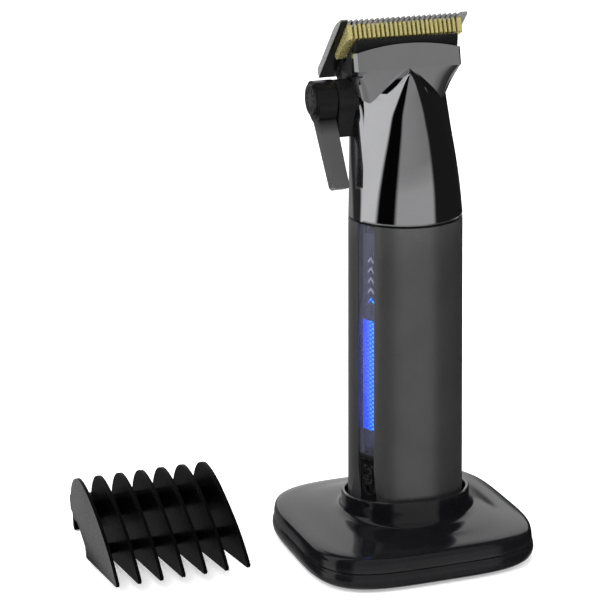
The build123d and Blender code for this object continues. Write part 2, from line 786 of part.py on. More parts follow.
# the yoke's fork is wider than the drive pin's whole sweep, so crank and yoke never meet
with BuildPart() as cutter_yoke:
    with BuildSketch(Plane.XY.offset(150.0)):
        with Locations((0, 0.6)):
            Rectangle(12.4, 11.0)
            Rectangle(9.6, 8.6, mode=Mode.SUBTRACT)
    extrude(amount=6.5)
    with BuildSketch(Plane.YZ.offset(-2.0)):
        Polygon(
            (4.9, 150.0),
            (6.1, 150.0),
            (9.2, 158.0),
            (10.2, 174.9),
            (7.6, 177.4),
            (5.4, 177.4),
            (5.4, 159.0),
            align=None,
        )
    extrude(amount=4.0)
    with BuildSketch(blade_face.offset(-4.6)):
        with Locations((0, 13.2)):
            Rectangle(16.0, 4.4)
        with Locations(*rivet_spots):
            Circle(1.2, mode=Mode.SUBTRACT)
    extrude(amount=1.6)
keep(cutter_yoke.part, "cutter_yoke")

# ---------------------------------------------------------------- blades

root_v = 7.5


def comb_gaps(count, pitch, tip_gap, root_gap):
    """Tapered slots between teeth, open at the cutting edge."""
    with BuildPart() as gaps:
        with BuildSketch(blade_face.offset(-9)):
            with GridLocations(pitch, 0, count, 1):
                Polygon(
                    (-tip_gap / 2, -4.0),
                    (tip_gap / 2, -4.0),
                    (root_gap / 2, root_v),
                    (-root_gap / 2, root_v),
                    align=None,
                )
        extrude(amount=18)
    return gaps.part


with BuildPart() as fixed_blade:
    with BuildSketch(blade_side.offset(-BLADE_WIDTH / 2)):
        with BuildLine():
            Polyline((-1.3, 0.45), (-1.2, 0.95), (0.2, 1.6))
            ThreePointArc((0.2, 1.6), (4.2, 2.95), (9.0, BLADE_THICKNESS))
            Polyline(
                (9.0, BLADE_THICKNESS),
                (BLADE_LENGTH - 1.0, BLADE_THICKNESS),
                (BLADE_LENGTH, BLADE_THICKNESS - 1.0),
                (BLADE_LENGTH, 0.1),
                (0.0, 0.1),
                (-1.3, 0.45),
            )
        make_face()
    extrude(amount=BLADE_WIDTH)
    add(comb_gaps(FIXED_TEETH + 1, FIXED_PITCH, 1.5, 0.8), mode=Mode.SUBTRACT)
    # the small teeth stop short of the two corner teeth
    with BuildSketch(blade_face.offset(-2)):
        with Locations((0, -1.6)):
            Rectangle(FIXED_TEETH * FIXED_PITCH, 2.2)
    extrude(amount=6, mode=Mode.SUBTRACT)
    # holes for its screws
    with BuildSketch(blade_face.offset(-2)):
        with Locations((-9.5, 24.5), (9.5, 24.5)):
            Circle(1.75)
    extrude(amount=8, mode=Mode.SUBTRACT)
keep(fixed_blade.part, "fixed_blade")

with BuildPart() as cutter_blade:
    with BuildSketch(blade_side.offset(-CUTTER_WIDTH / 2)):
        Polygon(
            (0.6, 0.0),
            (0.5, -0.5),
            (2.4, -4.5),
            (3.2, -4.6),
            (6.5, -3.3),
            (17.4, -2.3),
            (17.9, 0.0),
            (12.0, 0.0),
            align=None,
        )
    extrude(amount=CUTTER_WIDTH)
    add(comb_gaps(CUTTER_TEETH - 1, CUTTER_PITCH, 0.85, 0.6), mode=Mode.SUBTRACT)
keep(cutter_blade.part, "cutter_blade")

# rivets that hold the yoke's plate against the cutter's underside
with BuildPart() as cutter_rivets:
    with BuildSketch(blade_face.offset(-4.6)):
        with Locations(*rivet_spots):
            Circle(1.2)
    extrude(amount=1.65)
keep(cutter_rivets.part, "cutter_rivets")

# bent wire that presses the cutter against the fixed blade
with BuildPart() as cutter_spring:
    with BuildLine():
        FilletPolyline(
            blade_face.from_local_coords((-6.5, 12.0, -5.2)),
            blade_face.from_local_coords((-6.5, 27.0, -5.2)),
            blade_face.from_local_coords((-6.5, 27.0, -9.4)),
            blade_face.from_local_coords((6.5, 27.0, -9.4)),
            blade_face.from_local_coords((6.5, 27.0, -5.2)),
            blade_face.from_local_coords((6.5, 12.0, -5.2)),
            radius=1.5,
        )
    with BuildSketch(Plane(origin=blade_face.from_local_coords((-6.5, 12.0, -5.2)), z_dir=(0, SQ, -SQ))):
        Circle(0.45)
    sweep()
keep(cutter_spring.part, "cutter_spring")

with BuildPart() as blade_carrier:
    with BuildSketch(blade_side.offset(-17.0)):
        Polygon((20.0, -4.2), (30.5, -4.2), (30.5, 0.05), (20.0, 0.05), align=None)
    extrude(amount=34.0)
    with BuildSketch(blade_face.offset(-6)):
        with Locations((-9.5, 24.5), (9.5, 24.5)):
            Circle(1.45)
    extrude(amount=8, mode=Mode.SUBTRACT)
    # fork that reaches down to the lever's crank pin
    with BuildSketch(blade_side.offset(-10.2)):
        Polygon((20.6, -4.2), (25.4, -4.2), (25.4, -8.0), (26.8, -9.4), (26.8, -13.4), (20.6, -13.4), align=None)
        with Locations((24.32 - PIN_V, -12.2)):
            Rectangle(3.0, 4.6, mode=Mode.SUBTRACT)
    extrude(amount=3.0)
keep(blade_carrier.part, "blade_carrier")

with BuildPart() as blade_screws:
    with BuildSketch(blade_face.offset(-3.8)):
        with Locations((-9.5, 24.5), (9.5, 24.5)):
            Circle(1.4)
    extrude(amount=BLADE_THICKNESS + 3.9)
    with BuildSketch(blade_face.offset(BLADE_THICKNESS + 0.02)):
        with Locations((-9.5, 24.5), (9.5, 24.5)):
            Circle(2.9)
    extrude(amount=1.0)
    with BuildSketch(blade_face.offset(BLADE_THICKNESS + 0.5)):
        with Locations((-9.5, 24.5), (9.5, 24.5)):
            Rectangle(4.0, 0.7)
    extrude(amount=2, mode=Mode.SUBTRACT)
keep(blade_screws.part, "blade_screws")

# ---------------------------------------------------------------- taper lever

with BuildPart() as lever_bush:
    with BuildSketch(hub_axis.offset(-23.2)):
        Circle(3.55)
        Circle(2.5 + RUNNING, mode=Mode.SUBTRACT)
    extrude(amount=12.0)
keep(lever_bush.part, "lever_bush")

with BuildPart() as lever_shaft:
    with BuildSketch(hub_axis.offset(-26.4)):
        Circle(2.5)
    extrude(amount=16.0)
    with BuildSketch(hub_axis.offset(-10.4)):
        with Locations((SQ * (PIN_N - PIN_V), SQ * (PIN_N + PIN_V))):
            Circle(1.3)
    extrude(amount=3.1)
    with BuildSketch(hub_axis.offset(-26.4)):
        Circle(1.25)
    extrude(amount=6.4, mode=Mode.SUBTRACT)
keep(lever_shaft.part, "lever_shaft")

with BuildPart() as lever_screw:
    with BuildSketch(hub_axis.offset(-29.7)):
        Circle(2.2)
    extrude(amount=1.3)
    with BuildSketch(hub_axis.offset(-28.4)):
        Circle(1.2)
    extrude(amount=8.0)
keep(lever_screw.part, "lever_screw")

with BuildPart() as lever_washer:
    with BuildSketch(hub_axis.offset(-23.55)):
        Circle(5.4)
        Circle(2.6, mode=Mode.SUBTRACT)
    extrude(amount=0.3)
keep(lever_washer.part, "lever_washer")

with BuildPart() as taper_lever_arm:
    # hub
    with BuildSketch(hub_axis.offset(HUB_FACE_X + 0.8)):
        Circle(HUB_R)
    extrude(amount=-HUB_FACE_X - 0.8 - 23.6)
    with BuildSketch(hub_axis.offset(-30.3)):
        with Locations((-2.2 * sin(LEAN), -2.2 * cos(LEAN))):
            Circle(HUB_R - 0.3)
    extrude(amount=6.3)
    # arm, leaning in towards the handle as it goes down
    with BuildSketch(arm_face.offset(-2.6)):
        Polygon(
            (-30.3, -2.0),
            (-24.0, -2.0),
            (-24.0, -6.0),
            (-21.7, 0.8 - ARM_LENGTH),
            (-22.4, -ARM_LENGTH),
            (-26.7, -ARM_LENGTH),
            (-27.5, 0.9 - ARM_LENGTH),
            (-30.3, -8.0),
            align=None,
        )
    extrude(amount=5.2)
    # recess for the cap, and bore for the shaft
    with BuildSketch(hub_axis.offset(HUB_FACE_X - 1)):
        Circle(HUB_R - 1.0)
    extrude(amount=2.8, mode=Mode.SUBTRACT)
    with BuildSketch(hub_axis.offset(-29.9)):
        Circle(2.3)
    extrude(amount=1.5, mode=Mode.SUBTRACT)
    with BuildSketch(hub_axis.offset(-29.9)):
        Circle(1.3)
    extrude(amount=8, mode=Mode.SUBTRACT)
    with BuildSketch(hub_axis.offset(-26.4)):
        Circle(2.5)
    extrude(amount=4, mode=Mode.SUBTRACT)
keep(taper_lever_arm.part, "taper_lever_arm")

with BuildPart() as lever_cap:
    with BuildSketch(hub_axis.offset(HUB_FACE_X)):
        Circle(HUB_R - 1.1)
    extrude(amount=1.8)
    with BuildSketch(hub_axis.offset(HUB_FACE_X)):
        with PolarLocations(3.4, 12):
            Rectangle(1.8, 0.7)
    extrude(amount=0.6, mode=Mode.SUBTRACT)
keep(lever_cap.part, "lever_cap")

# ---------------------------------------------------------------- guide comb


def fin(x):
    """One fin of the comb, its left face at x: a shark's fin that points to the front."""
    with BuildPart() as blade:
        with BuildSketch(Plane.YZ.offset(x)):
            with BuildLine():
                Polyline((27.3, 0.0), (-15.8, 6.4), (-16.3, 7.6))
                Spline((-16.3, 7.6), (-4.0, 16.2), (8.0, 21.7), (20.4, 25.9), (33.9, 27.4))
                ThreePointArc((33.9, 27.4), (44.8, 22.5), (49.8, 12.4))
                Polyline((49.8, 12.4), (49.3, 10.6), (37.1, 8.4), (28.4, 4.0), (27.3, 0.0))
            make_face()
        extrude(amount=FIN_THICKNESS)
    return blade.part


COMB_WIDTH = (COMB_FINS - 1) * COMB_PITCH + FIN_THICKNESS
comb_mid_x = COMB_X + COMB_WIDTH / 2


def crossbar(y, z, depth, height):
    """Bar that ties the fins together, at the given middle."""
    with BuildPart() as bar:
        with Locations((comb_mid_x, y, z)):
            Box(COMB_WIDTH, depth, height)
    return bar.part


def comb_clip(side):
    """Corner clip: a tab that reaches back and a hook that grips the clipper's blade."""
    with BuildPart() as clip:
        with BuildSketch(Plane.YZ.offset(comb_mid_x + side * (COMB_WIDTH / 2 - 6.4) - 4.2)):
            Polygon(
                (44.0, 9.8),
                (44.0, 12.2),
                (56.5, 12.6),
                (60.0, 11.8),
                (60.0, 9.2),
                (56.8, 8.6),
                (56.2, 1.2),
                (54.8, 0.0),
                (52.6, 0.6),
                (53.8, 2.4),
                (54.0, 9.0),
                align=None,
            )
        extrude(amount=8.4)
    return clip.part


with BuildPart() as comb_guide:
    for i in range(COMB_FINS):
        add(fin(COMB_X + i * COMB_PITCH))
    add(crossbar(43.4, 12.2, 4.4, 7.0))
    add(crossbar(23.0, 4.2, 4.0, 2.6))
    for side in (-1, 1):
        add(comb_clip(side))
keep(comb_guide.part, "comb_guide")


# ---------------------------------------------------------------- export

os.makedirs("parts", exist_ok=True)
for piece, name in made:
    export_step(piece, f"parts/{name}.step")
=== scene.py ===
"""Looks for the hair clipper, its charging stand and its guide comb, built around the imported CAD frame."""

import json
from math import acos, atan2, copysign, cos, pi, radians, sin, sqrt

import bmesh
import bpy
from mathutils import Matrix, Vector


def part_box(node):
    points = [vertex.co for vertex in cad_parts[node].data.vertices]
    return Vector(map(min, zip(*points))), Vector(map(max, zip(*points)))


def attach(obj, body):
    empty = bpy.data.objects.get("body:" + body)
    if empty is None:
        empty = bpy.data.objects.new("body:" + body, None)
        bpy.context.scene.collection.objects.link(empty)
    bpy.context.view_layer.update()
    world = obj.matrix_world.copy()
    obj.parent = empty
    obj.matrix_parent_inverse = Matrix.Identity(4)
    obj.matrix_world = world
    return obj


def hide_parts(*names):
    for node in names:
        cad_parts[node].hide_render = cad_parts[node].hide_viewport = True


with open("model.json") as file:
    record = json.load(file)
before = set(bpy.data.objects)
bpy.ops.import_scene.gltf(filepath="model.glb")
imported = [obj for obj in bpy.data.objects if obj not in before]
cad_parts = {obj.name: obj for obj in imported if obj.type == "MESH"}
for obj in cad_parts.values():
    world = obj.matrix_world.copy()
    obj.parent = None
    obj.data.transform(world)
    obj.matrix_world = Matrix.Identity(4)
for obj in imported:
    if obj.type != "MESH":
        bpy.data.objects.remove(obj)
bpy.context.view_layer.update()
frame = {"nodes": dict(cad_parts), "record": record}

MM = 0.001

# ---------------------------------------------------------------- camera and light

CAMERA_PLACE = (-0.2730, -0.6767, 0.3075)
CAMERA_LOOK = (0.31328, 0.90641, -0.28335)
CAMERA_UP = (0.10498, 0.26349, 0.95893)
CAMERA_LENS = 129.74


def make_camera():
    """Camera at the product shot's angle: from the front left, looking slightly down."""
    data = bpy.data.cameras.new("camera")
    data.lens = CAMERA_LENS
    data.sensor_width = 36.0
    camera = bpy.data.objects.new("camera", data)
    look = Vector(CAMERA_LOOK).normalized()
    right = look.cross(Vector(CAMERA_UP)).normalized()
    up = right.cross(look)
    turn = Matrix((right, up, -look)).transposed().to_4x4()
    camera.matrix_world = Matrix.Translation(CAMERA_PLACE) @ turn
    bpy.context.scene.collection.objects.link(camera)
    bpy.context.scene.camera = camera


def area_light(name, place, target, size, power):
    """Soft box that points at a target, itself unseen by the camera and in reflections."""
    data = bpy.data.lights.new(name, "AREA")
    data.shape = "RECTANGLE"
    data.size, data.size_y = size
    data.energy = power
    lamp = bpy.data.objects.new(name, data)
    lamp.location = place
    lamp.rotation_euler = (Vector(target) - Vector(place)).to_track_quat("-Z", "Y").to_euler()
    lamp.visible_camera = False
    lamp.visible_glossy = False
    bpy.context.scene.collection.objects.link(lamp)


# brightness of the studio round the object, by direction in degrees from the front towards the left
RIGHT_GAP = ((-149, 0.08), (-141, 0.012), (-43, 0.012))
LEFT_CARD = ((46, 0.002), (80, 0.002), (88, 0.62), (112, 0.62), (121, 0.02), (149, 0.03))
WALLS = (
    (-180, 0.2),
    (-172, 0.25),
    (-165, 1.0),
    (-155, 1.0),
    *RIGHT_GAP,
    (-36, 0.36),
    (39, 0.36),
    *LEFT_CARD,
    (156, 0.2),
    (180, 0.2),
)
UPPER_WALLS = (
    (-180, 1.0),
    (-155, 1.0),
    *RIGHT_GAP,
    (-36, 0.22),
    (39, 0.27),
    *LEFT_CARD,
    (158, 0.95),
    (180, 1.0),
)
HIGH_WALLS = (
    (-180, 1.0),
    (-120, 1.0),
    (-108, 0.012),
    (-43, 0.012),
    (-36, 0.22),
    (39, 0.27),
    *LEFT_CARD[:5],
    (132, 0.03),
    (143, 0.95),
    (180, 1.0),
)
CEILING = (
    (-180, 0.04),
    (-155, 0.3),
    *RIGHT_GAP,
    (-36, 0.26),
    (39, 0.26),
    *LEFT_CARD,
    (180, 0.04),
)
GROUND = (
    (-180, 0.4),
    (-120, 0.3),
    (-106, 0.03),
    (-60, 0.05),
    (-30, 0.24),
    (46, 0.26),
    (56, 0.20),
    (80, 0.20),
    (88, 0.3),
    (124, 0.3),
    (133, 0.04),
    (156, 0.3),
    (180, 0.4),
)
# rings above the ground, with the heights of view between which each takes over from the one below
RINGS = (
    (WALLS, -0.46, -0.36),
    (UPPER_WALLS, 0.0, 0.12),
    (HIGH_WALLS, 0.22, 0.27),
    (CEILING, 0.62, 0.74),
)
FLOOR_HALF = 6.0


def cards(tree, heading, levels):
    """Ring of brightness levels round the studio."""
    node = tree.nodes.new("ShaderNodeValToRGB")
    for i, (direction, level) in enumerate(levels):
        place = (direction + 180) / 360
        stop = node.color_ramp.elements[i] if i < 2 else node.color_ramp.elements.new(place)
        stop.position = place
        stop.color = (level, level, level, 1)
    link(tree, heading, "Result", node, 0)
    return node


def blended(tree, low, high, share):
    """Mix of two colours, each given as a node and its output."""
    node = tree.nodes.new("ShaderNodeMix")
    node.data_type = "RGBA"
    link(tree, share, "Result", node, "Factor")
    link(tree, low[0], low[1], node, 6)
    link(tree, high[0], high[1], node, 7)
    return node


def make_world():
    """Studio surroundings: rings of pale cards and dark gaps at all heights round the object."""
    world = bpy.data.worlds.new("studio")
    bpy.context.scene.world = world
    world.use_nodes = True
    tree = world.node_tree
    tree.nodes.clear()
    coords = tree.nodes.new("ShaderNodeTexCoord")
    split = tree.nodes.new("ShaderNodeSeparateXYZ")
    link(tree, coords, "Generated", split, 0)
    minus_y = maths(tree, "MULTIPLY", split, "Y", -1.0)
    minus_x = maths(tree, "MULTIPLY", split, "X", -1.0)
    turn = maths(tree, "ARCTAN2", minus_x, "Value", minus_y, "Value")
    heading = ranged(tree, turn, "Value", -pi, pi, 0.0, 1.0)
    whole = (cards(tree, heading, GROUND), 0)
    for levels, low, high in RINGS:
        share = ranged(tree, split, "Z", low, high, 0.0, 1.0)
        whole = (blended(tree, whole, (cards(tree, heading, levels), 0), share), 2)
    background = tree.nodes.new("ShaderNodeBackground")
    background.inputs["Strength"].default_value = 1.0
    link(tree, whole[0], whole[1], background, "Color")
    out = tree.nodes.new("ShaderNodeOutputWorld")
    link(tree, background, "Background", out, "Surface")


def make_floor():
    """Plain pale floor, unseen in reflections."""
    mesh = bpy.data.meshes.new("floor")
    corners = [(x * FLOOR_HALF, y * FLOOR_HALF, 0) for x, y in ((-1, -1), (1, -1), (1, 1), (-1, 1))]
    mesh.from_pydata(corners, [], [(0, 1, 2, 3)])
    floor = bpy.data.objects.new("floor", mesh)
    bpy.context.scene.collection.objects.link(floor)
    floor.visible_glossy = False
    material = bpy.data.materials.new("floor_paper")
    material.use_nodes = True
    shader = material.node_tree.nodes["Principled BSDF"]
    shader.inputs["Base Color"].default_value = (0.9, 0.9, 0.9, 1)
    shader.inputs["Roughness"].default_value = 0.8
    shader.inputs["Specular IOR Level"].default_value = 0.2
    shader.inputs["Emission Color"].default_value = (1, 1, 1, 1)
    shader.inputs["Emission Strength"].default_value = 0.4
    mesh.materials.append(material)


# ---------------------------------------------------------------- materials

BROAD_PATCHES = 60.0
RELIEF_DEPTH = 0.1 * MM
ACROSS, UP = (1.0, 0.0, 0.0), (0.0, 0.0, 1.0)
UP_AND_BACK = (0.0, 0.7071, 0.7071)
# direction across the light strip, from left to right, and the pitch and slope of its lattice
STRIP_ACROSS = (cos(radians(65)), -sin(radians(65)), 0.0)
LATTICE_PITCH, LATTICE_SLOPE = 0.0024, 1.5
# where each look of painted light and shade changes over: places in metres, then distances from the blade's
# edges
COMB_OUTER_FIN = (-0.1118, -0.1114)
COMB_TIPS = (0.0185, 0.0275)
LEVER_HUB = (0.1525, 0.1575)
BLADE_RIM = (0.0031, 0.0027)
BLADE_LEFT_END = (0.0050, 0.0060)
BLADE_RIGHT_END = (0.0036, 0.0030)


def link(tree, a, out, b, inlet):
    """Join one node's output to another's input."""
    tree.links.new(a.outputs[out], b.inputs[inlet])


def noise(tree, coords, scale, detail=3.0, stretch=None):
    """Noise with so many waves to the metre; stretch scales it along each axis."""
    node = tree.nodes.new("ShaderNodeTexNoise")
    node.inputs["Scale"].default_value = scale
    node.inputs["Detail"].default_value = detail
    node.inputs["Roughness"].default_value = 0.55
    source, out = coords, "Object"
    if stretch:
        mapping = tree.nodes.new("ShaderNodeMapping")
        mapping.inputs["Scale"].default_value = stretch
        link(tree, coords, "Object", mapping, "Vector")
        source, out = mapping, "Vector"
    link(tree, source, out, node, "Vector")
    return node


def ranged(tree, source, out, low, high, a, b):
    """Remap a value from low..high to a..b, clamped."""
    node = tree.nodes.new("ShaderNodeMapRange")
    node.inputs["From Min"].default_value = low
    node.inputs["From Max"].default_value = high
    node.inputs["To Min"].default_value = a
    node.inputs["To Max"].default_value = b
    link(tree, source, out, node, "Value")
    return node


def surface(
    name,
    base,
    rough,
    metallic=0.0,
    vary=0.12,
    rough_vary=0.05,
    grain=1500.0,
    bump=0.02,
    wear=None,
    wear_share=0.5,
    stretch=None,
    specular=0.5,
):
    """Solid material with uneven tone, grain, uneven gloss and lighter worn edges."""
    material = bpy.data.materials.new(name)
    material.use_nodes = True
    tree = material.node_tree
    shader = tree.nodes["Principled BSDF"]
    coords = tree.nodes.new("ShaderNodeTexCoord")
    patch = noise(tree, coords, BROAD_PATCHES)
    fine = noise(tree, coords, grain, detail=2.0, stretch=stretch)
    tone = tree.nodes.new("ShaderNodeMix")
    tone.data_type = "RGBA"
    tone.inputs[6].default_value = (*[v * (1 - vary) for v in base], 1)
    tone.inputs[7].default_value = (*[min(1.0, v * (1 + vary)) for v in base], 1)
    share = ranged(tree, patch, "Fac", 0.35, 0.65, 0.0, 1.0)
    link(tree, share, "Result", tone, "Factor")
    colour = tone
    if wear:
        geometry = tree.nodes.new("ShaderNodeNewGeometry")
        edge = ranged(tree, geometry, "Pointiness", 0.52, 0.60, 0.0, wear_share)
        broken = maths(tree, "MULTIPLY", edge, "Result", patch, "Fac")
        rub = tree.nodes.new("ShaderNodeMix")
        rub.data_type = "RGBA"
        link(tree, broken, "Value", rub, "Factor")
        link(tree, tone, 2, rub, 6)
        rub.inputs[7].default_value = (*wear, 1)
        colour = rub
    link(tree, colour, 2, shader, "Base Color")
    gloss = ranged(tree, fine, "Fac", 0.3, 0.7, max(0.0, rough - rough_vary), rough + rough_vary)
    link(tree, gloss, "Result", shader, "Roughness")
    if bump:
        relief = tree.nodes.new("ShaderNodeBump")
        relief.inputs["Strength"].default_value = bump
        relief.inputs["Distance"].default_value = RELIEF_DEPTH
        link(tree, fine, "Fac", relief, "Height")
        link(tree, relief, "Normal", shader, "Normal")
    shader.inputs["Metallic"].default_value = metallic
    shader.inputs["Specular IOR Level"].default_value = specular
    return material


def along(tree, coords, direction, of="Object"):
    """Distance along a direction, in metres, or a normal's share of it."""
    dot = tree.nodes.new("ShaderNodeVectorMath")
    dot.operation = "DOT_PRODUCT"
    dot.inputs[1].default_value = direction
    link(tree, coords, of, dot, 0)
    return dot


def maths(tree, operation, a, a_out, b, b_out=None):
    """Maths node on an output and either another output or a number."""
    node = tree.nodes.new("ShaderNodeMath")
    node.operation = operation
    link(tree, a, a_out, node, 0)
    if b_out is None:
        node.inputs[1].default_value = b
    else:
        link(tree, b, b_out, node, 1)
    return node


def light_material():
    """Blue light guide: deep blue on the left, a lattice of cyan diamonds on the right."""
    material = surface("light_blue", (0.02, 0.06, 0.5), 0.3, bump=0.01)
    tree = material.node_tree
    shader = tree.nodes["Principled BSDF"]
    coords = tree.nodes.new("ShaderNodeTexCoord")
    across = along(tree, coords, STRIP_ACROSS)
    height = along(tree, coords, (0.0, 0.0, LATTICE_SLOPE))
    waves = []
    for operation in ("ADD", "SUBTRACT"):
        slant = maths(tree, operation, across, "Value", height, "Value")
        turn = maths(tree, "MULTIPLY", slant, "Value", 2 * pi / LATTICE_PITCH)
        wave = tree.nodes.new("ShaderNodeMath")
        wave.operation = "SINE"
        link(tree, turn, "Value", wave, 0)
        waves.append(wave)
    both = maths(tree, "ADD", waves[0], "Value", waves[1], "Value")
    dots = ranged(tree, both, "Value", 0.1, 1.2, 0.0, 1.0)
    side = ranged(tree, across, "Value", -0.0014, 0.0010, 0.0, 1.0)
    spots = maths(tree, "MULTIPLY", dots, "Result", side, "Result")
    glow = tree.nodes.new("ShaderNodeMix")
    glow.data_type = "RGBA"
    link(tree, spots, "Value", glow, "Factor")
    glow.inputs[6].default_value = (0.004, 0.06, 1.0, 1)
    glow.inputs[7].default_value = (0.03, 0.85, 1.1, 1)
    link(tree, glow, 2, shader, "Emission Color")
    shader.inputs["Emission Strength"].default_value = 1.15
    return material


def window_material():
    """Smoked clear window: see-through with a pale haze, and a clear reflection on its outer face."""
    material = bpy.data.materials.new("smoked_window")
    material.use_nodes = True
    tree = material.node_tree
    tree.nodes.remove(tree.nodes["Principled BSDF"])
    out = tree.nodes["Material Output"]
    coords = tree.nodes.new("ShaderNodeTexCoord")
    streaks = noise(tree, coords, 900.0, stretch=(1.0, 1.0, 0.02))
    clear = tree.nodes.new("ShaderNodeBsdfTransparent")
    clear.inputs["Color"].default_value = (0.86, 0.87, 0.92, 1)
    haze = tree.nodes.new("ShaderNodeBsdfDiffuse")
    haze.inputs["Color"].default_value = (0.17, 0.17, 0.235, 1)
    outside = tree.nodes.new("ShaderNodeNewGeometry")
    front = ranged(tree, outside, "Backfacing", 0.0, 1.0, 1.0, 0.0)
    cloud = ranged(tree, streaks, "Fac", 0.3, 0.7, 0.14, 0.34)
    fogged = maths(tree, "MULTIPLY", cloud, "Result", front, "Result")
    body = tree.nodes.new("ShaderNodeMixShader")
    link(tree, fogged, "Value", body, 0)
    link(tree, clear, "BSDF", body, 1)
    link(tree, haze, "BSDF", body, 2)
    shine = tree.nodes.new("ShaderNodeBsdfGlossy")
    shine.inputs["Color"].default_value = (0.9, 0.92, 0.95, 1)
    shine.inputs["Roughness"].default_value = 0.05
    fresnel = tree.nodes.new("ShaderNodeFresnel")
    fresnel.inputs["IOR"].default_value = 1.45
    mirror = maths(tree, "MULTIPLY", fresnel, "Fac", front, "Result")
    mix = tree.nodes.new("ShaderNodeMixShader")
    link(tree, mirror, "Value", mix, 0)
    link(tree, body, "Shader", mix, 1)
    link(tree, shine, "BSDF", mix, 2)
    link(tree, mix, "Shader", out, "Surface")
    return material


def painted_light_and_shade(name, dark, pale, share_of, *args, **kwargs):
    """Material with painted light and shade: it goes from a dark, shaded tone to a pale, lit one by a share
    worked out from position.
    """
    material = surface(name, pale, *args, **kwargs)
    tree = material.node_tree
    shader = tree.nodes["Principled BSDF"]
    coords = tree.nodes.new("ShaderNodeTexCoord")
    share = share_of(tree, coords)
    tone = tree.nodes.new("ShaderNodeMix")
    tone.data_type = "RGBA"
    tree.links.new(share, tone.inputs["Factor"])
    tone.inputs[6].default_value = (*dark, 1)
    tree.links.new(shader.inputs["Base Color"].links[0].from_socket, tone.inputs[7])
    link(tree, tone, 2, shader, "Base Color")
    return material


def painted_comb_light(tree, coords):
    """Share of painted light on the comb: full on the outer fin, some on the tips, little between the fins,
    where painted shade falls.
    """
    # painted shade: darker where neighbouring fins close in, from ambient occlusion
    depth = tree.nodes.new("ShaderNodeAmbientOcclusion")
    depth.samples = 8
    depth.inputs["Distance"].default_value = 0.012
    open_side = ranged(tree, depth, "AO", 0.6, 0.95, 0.0, 1.0)
    outer = ranged(tree, along(tree, coords, ACROSS), "Value", *COMB_OUTER_FIN, 1.0, 0.0)
    tip = ranged(tree, along(tree, coords, UP), "Value", *COMB_TIPS, 0.0, 0.8)
    facing = maths(tree, "ABSOLUTE", along(tree, coords, ACROSS, "Normal"), "Value", 0.0)
    flat = ranged(tree, facing, "Value", 0.7, 0.9, 0.0, 1.0)
    lit = maths(tree, "MAXIMUM", outer, "Result", tip, "Result")
    shown = maths(tree, "MULTIPLY", lit, "Value", flat, "Result")
    return maths(tree, "MULTIPLY", open_side, "Result", shown, "Value").outputs["Value"]


def painted_lever_shade(tree, coords):
    """Painted shade on the lever: pale on its arm, dark round its hub."""
    arm = ranged(tree, along(tree, coords, UP), "Value", *LEVER_HUB, 1.0, 0.0)
    return arm.outputs["Result"]


def painted_blade_highlight(tree, coords):
    """Painted highlight: pale along the blade's back edge and over its face, dark on the inner part of its
    ends.
    """
    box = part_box("fixed_blade")
    left, right = box[0][0], box[1][0]
    points = frame["nodes"]["fixed_blade"].data.vertices
    back = max((point.co.y + point.co.z) * UP_AND_BACK[2] for point in points)
    behind = along(tree, coords, UP_AND_BACK)
    rim = ranged(tree, behind, "Value", *[back - width for width in BLADE_RIM], 0.0, 1.0)
    across = along(tree, coords, ACROSS)
    teeth = ranged(tree, across, "Value", *[left + width for width in BLADE_LEFT_END], 0.0, 0.3)
    corner = ranged(tree, across, "Value", *[right - width for width in BLADE_RIGHT_END], 0.0, 1.0)
    face = maths(tree, "MAXIMUM", teeth, "Result", corner, "Result")
    return maths(tree, "MAXIMUM", rim, "Result", face, "Value").outputs["Value"]


